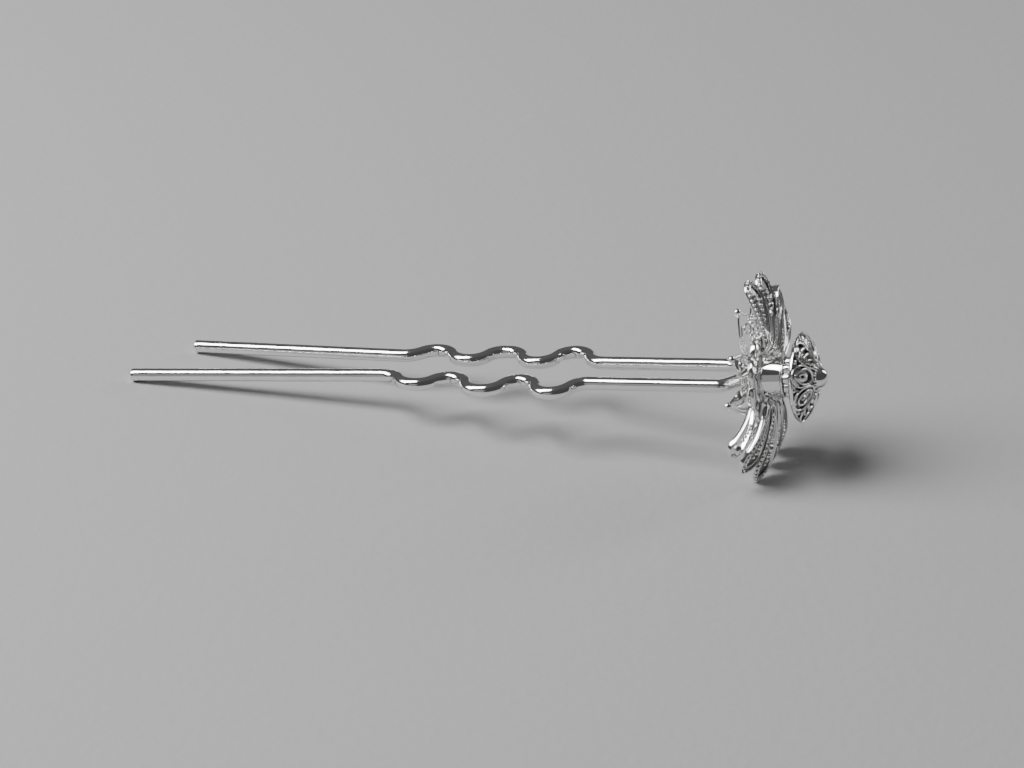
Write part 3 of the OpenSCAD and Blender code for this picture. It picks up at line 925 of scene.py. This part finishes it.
# The dome's radius, its highest place along the axis, and its middle
DOME_R = (ROSETTE_R ** 2 + ROSETTE_RISE ** 2) / (2 * ROSETTE_RISE)
POLE_S = ROSETTE_RIM_S + ROSETTE_RISE
DOME_MIDDLE = np.array((0, 0, POLE_S - DOME_R))
# The frame of each lobe: its middle, half length and half width, and the bead between two lobes
LOBE_AT, LOBE_LEN, LOBE_W = 3.36, 1.56, 1.16
BETWEEN_AT, BETWEEN_R, BETWEEN_LIFT = 4.66, 0.28, -0.2
# The eye lobe: its frame, the pointed line inside it, and the dish with its bead
EYE_FRAME, EYE_FRAME_LIFT = (0.17, 0.7, 0.08), -0.24
EYE_LINE, EYE_BAND, EYE_BAND_LIFT = (3.3, 1.4, 0.86), (0.16, 0.6, 0.07), -0.12
EYE_DISH, EYE_DISH_BAND, EYE_DISH_LIFT = (0.66, 0.34), (0.5, 0.2, 0.09), -0.24
EYE_BEAD_AT, EYE_BEAD, EYE_BEAD_LIFT = 3.1, (0.26, 0.2, 0.2), -0.06
# The nested lobe: its two loops, each with the width of its band, and its bead
NEST_LOOPS = [(LOBE_LEN, LOBE_W, 0.22), (1.04, 0.66, 0.2)]
NEST_H, NEST_ROUND, NEST_LIFT = 0.7, 0.06, -0.2
NEST_BEAD_AT, NEST_BEAD = 3.5, (0.56, 0.27, 0.26)
# The chevron lobe: its frame, the place and half width of each rib, and its bead
CHEVRON_FRAME, CHEVRON_FRAME_LIFT = (0.19, 0.8, 0.08), -0.2
CHEVRON_RIBS, CHEVRON_POINT, CHEVRON_POWER = [(2.4, 0.46), (3.1, 0.78), (3.8, 0.94)], 0.42, 1.5
CHEVRON_BAND, CHEVRON_LIFT = (0.3, 0.5, 0.13), -0.18
CHEVRON_BEAD_AT, CHEVRON_BEAD_R, CHEVRON_BEAD_LIFT = 2.15, 0.17, -0.1
# The smooth saucer behind the lobes, the ground below them, the stem, and the beads round the
# ball, as radii and places along the axis
SAUCER = [(1.2, 3.42), (2.3, 3.44), (3.7, 3.56), (4.5, 3.78), (4.9, 4.0), (4.98, 4.3), (4.86, 4.42),
          (4.68, 4.3), (4.4, 4.02), (3.7, 3.78), (2.3, 3.64), (1.2, 3.6)]
GROUND_RADII, GROUND_DROP, GROUND_T = (1.0, 4.7, 9), 0.42, 0.12
ROSETTE_STEM = ring_profile(0.4, 1.3, 3.42, 5.4)
STEM_ROUND, SAUCER_ROUND = 0.06, 0.12
EYE_RING_R, EYE_RING_DROP, EYE_RING_BEADS, EYE_RING_BEAD_R = 1.5, 0.14, 14, 0.27


def on_dome(xy, h=0.0):
    """Points over plan places on the rosette's dome, h above it."""
    xy = np.atleast_2d(np.asarray(xy, float))
    s = np.sqrt(DOME_R ** 2 - (xy ** 2).sum(1)) + DOME_MIDDLE[2]
    p = np.column_stack([xy, s])
    return p + unit(p - DOME_MIDDLE) * np.reshape(h, (-1, 1))


def dome_line(xy, section, h, closed=True):
    p = on_dome(xy, h)
    return sweep(p, unit(p - DOME_MIDDLE), section, closed=closed)


def drop_loop(cx, a, b, n=44, lean=0.25):
    """Plan line of an oval that is narrower towards the middle."""
    t = np.arange(n) * 2 * math.pi / n
    return np.column_stack([cx + a * np.cos(t), b * np.sin(t) * (1 + lean * np.cos(t))])


def eye_line(cx, a, b, n=22):
    """Plan line of an oval with a point at each end."""
    x = np.linspace(-1, 1, n)
    y = 1 - x ** 2
    upper = np.column_stack([cx + a * x, b * y])
    return np.vstack([upper, upper[-2:0:-1] * (1, -1)])


def eye_lobe():
    """A drop-shaped frame, and in it a pointed oval round a dish with a bead."""
    loop = drop_loop(LOBE_AT, LOBE_LEN, LOBE_W)
    dish = drop_loop(LOBE_AT, *EYE_DISH, n=28, lean=0)
    frames = [dome_line(loop, band_section(*EYE_FRAME), EYE_FRAME_LIFT),
              dome_line(eye_line(*EYE_LINE), band_section(*EYE_BAND), EYE_BAND_LIFT),
              dome_line(dish, band_section(*EYE_DISH_BAND), EYE_DISH_LIFT)]
    return frames, [beads(on_dome([(EYE_BEAD_AT, 0)], EYE_BEAD_LIFT), EYE_BEAD, MIDDLE)]


def nested_lobe():
    """Two drop-shaped frames, one inside the other, round a long bead."""
    frames = []
    for a, b, w in NEST_LOOPS:
        loop = drop_loop(LOBE_AT, a, b)
        frames.append(dome_line(loop, band_section(w, NEST_H, NEST_ROUND), NEST_LIFT))
    return frames, [beads(on_dome([(NEST_BEAD_AT, 0)], NEST_LIFT), NEST_BEAD, MIDDLE)]


def chevron_lobe():
    """A drop-shaped frame over ribs that meet in points."""
    loop = drop_loop(LOBE_AT, LOBE_LEN, LOBE_W)
    frames = [dome_line(loop, band_section(*CHEVRON_FRAME), CHEVRON_FRAME_LIFT)]
    t = np.linspace(-1, 1, 15)
    for x, half in CHEVRON_RIBS:
        bow = CHEVRON_POINT * (1 - np.abs(t) ** CHEVRON_POWER)
        path = np.column_stack([x + bow, half * t])
        frames.append(dome_line(path, band_section(*CHEVRON_BAND), CHEVRON_LIFT, closed=False))
    bead = beads(on_dome([(CHEVRON_BEAD_AT, 0)], CHEVRON_BEAD_LIFT), CHEVRON_BEAD_R, MIDDLE)
    return frames, [bead]


def rosette():
    frames, grains = [], []
    lobes = (eye_lobe(), nested_lobe(), chevron_lobe())
    for i in range(LOBES):
        m = rot("Z", LOBE_TURN + i * 360 / LOBES)
        bands, balls = lobes[i % len(lobes)]
        frames.extend(put(part, m) for part in bands)
        grains.extend(put(part, m) for part in balls)
        between = rot("Z", LOBE_TURN + (i + 0.5) * 360 / LOBES)
        bead = beads(on_dome([(BETWEEN_AT, 0)], BETWEEN_LIFT), BETWEEN_R, MIDDLE)
        grains.append(put(bead, between))
    frames.append(revolve(rounded(SAUCER, SAUCER_ROUND), 120))
    # A ground closes the dome below the lobes.
    radii = np.linspace(*GROUND_RADII)
    heights = on_dome(np.column_stack([radii, 0 * radii]))[:, 2] - GROUND_DROP
    top, low = list(zip(radii, heights)), list(zip(radii[::-1], heights[::-1] - GROUND_T))
    frames.append(revolve(top + low, 96))
    frames.append(revolve(rounded(ROSETTE_STEM, STEM_ROUND), 40))
    eye_ring = circle(EYE_RING_R, EYE_RING_BEADS, POLE_S - EYE_RING_DROP)
    grains.append(beads(eye_ring, EYE_RING_BEAD_R, MIDDLE))
    piece("rosette_lobes", frames, LOBED_BAND, "filigree", "rosette")
    piece("rosette_grains", grains, GRANULATED, "filigree")


pin()
post()
collar()
front_ball()
base_plate()
for i, row in enumerate(PETALS, 1):
    petal(i, row)
for i, row in enumerate(LEAVES, 1):
    leaf(i, row)
rosette()


# Floor

# Its half size, how far it lies below the object, and its paper
FLOOR_SIZE, FLOOR_DROP = 1.5, 0.00001
FLOOR_COLOUR, FLOOR_ROUGH = (0.36, 0.36, 0.363, 1), 0.9
PAPER_SCALE, PAPER_DETAIL, PAPER_BUMP, PAPER_HEIGHT = 700, 3, 0.25, 0.3


def floor():
    mat = bpy.data.materials.new("floor")
    mat.use_nodes = True
    tree = mat.node_tree
    shader = tree.nodes["Principled BSDF"]
    shader.inputs["Base Color"].default_value = FLOOR_COLOUR
    shader.inputs["Roughness"].default_value = FLOOR_ROUGH
    place = tree.nodes.new("ShaderNodeTexCoord")
    paper = tree.nodes.new("ShaderNodeTexNoise")
    paper.inputs["Scale"].default_value = PAPER_SCALE
    paper.inputs["Detail"].default_value = PAPER_DETAIL
    tree.links.new(place.outputs["Object"], paper.inputs["Vector"])
    bump = tree.nodes.new("ShaderNodeBump")
    bump.inputs["Strength"].default_value = PAPER_BUMP
    bump.inputs["Distance"].default_value = PAPER_HEIGHT * MM
    tree.links.new(paper.outputs["Fac"], bump.inputs["Height"])
    tree.links.new(bump.outputs["Normal"], shader.inputs["Normal"])
    mesh = bpy.data.meshes.new("floor")
    corners = [(x * FLOOR_SIZE, y * FLOOR_SIZE, 0) for x, y in ((-1, -1), (1, -1), (1, 1), (-1, 1))]
    mesh.from_pydata(corners, [], [[0, 1, 2, 3]])
    mesh.materials.append(mat)
    item = bpy.data.objects.new("floor", mesh)
    bpy.context.scene.collection.objects.link(item)
    item.location = (0, 0, -FLOOR_DROP)


# Studio, which is dark, with a soft grey wall behind and above the object

# Each stop is how near a direction lies to the wall's, and a grey.
WALL_WAY = (-0.35, 0.6, 0.72)
STUDIO_STOPS = [(0.2, 0.062), (0.55, 0.08), (0.9, 0.1)]


def studio():
    world = bpy.data.worlds.new("studio")
    bpy.context.scene.world = world
    world.use_nodes = True
    tree = world.node_tree
    way = tree.nodes.new("ShaderNodeTexCoord")
    wall = tree.nodes.new("ShaderNodeVectorMath")
    wall.operation = "DOT_PRODUCT"
    wall.inputs[1].default_value = WALL_WAY
    tree.links.new(way.outputs["Generated"], wall.inputs[0])
    fade = tree.nodes.new("ShaderNodeValToRGB")
    ramp = fade.color_ramp.elements
    first, middle, last = STUDIO_STOPS
    for stop, (place, grey) in zip(ramp, (first, last)):
        stop.position, stop.color = place, (grey, grey, grey, 1)
    place, grey = middle
    ramp.new(place).color = (grey, grey, grey, 1)
    tree.links.new(wall.outputs["Value"], fade.inputs["Fac"])
    tree.links.new(fade.outputs["Color"], tree.nodes["Background"].inputs["Color"])


def area(name, place, aim, size_x, size_y, power):
    data = bpy.data.lights.new(name, "AREA")
    data.energy = power
    data.shape = "RECTANGLE"
    data.size = size_x
    data.size_y = size_y
    item = bpy.data.objects.new(name, data)
    bpy.context.scene.collection.objects.link(item)
    item.location = place
    item.rotation_euler = (Vector(aim) - Vector(place)).to_track_quat("-Z", "Y").to_euler()


def camera():
    """The camera was fitted to the wire's outline in the photograph."""
    azimuth, elevation = 0.3192, 0.5405
    target = Vector((2.0216, 6.1848, 0)) * MM
    distance = 328.1589 * MM
    focal_px, frame_px, sensor = 2797.9356, 1024, 36.0
    way = Vector((-math.sin(azimuth) * math.cos(elevation), math.cos(azimuth) * math.cos(elevation),
                  -math.sin(elevation)))
    data = bpy.data.cameras.new("camera")
    data.sensor_width = sensor
    data.lens = sensor * focal_px / frame_px
    data.clip_start, data.clip_end = 0.01, 10
    item = bpy.data.objects.new("camera", data)
    bpy.context.scene.collection.objects.link(item)
    item.location = target - way * distance
    item.rotation_euler = way.to_track_quat("-Z", "Y").to_euler()
    bpy.context.scene.camera = item


# One row for each light: its name, place, aim, two sizes in metres, and power in watts
LIGHTS = [
    ("key", (-0.34, -0.12, 0.44), (0.02, 0, 0.01), 0.26, 0.5, 6.4),
    ("fill", (-0.1, -0.38, 0.13), (0.02, 0, 0.01), 0.24, 0.24, 0.04),
    ("rim", (0.38, 0.42, 0.25), (0.03, 0, 0.01), 0.12, 0.3, 0.9),
]

floor()
studio()
for light in LIGHTS:
    area(*light)
camera()

bpy.context.view_layer.update()
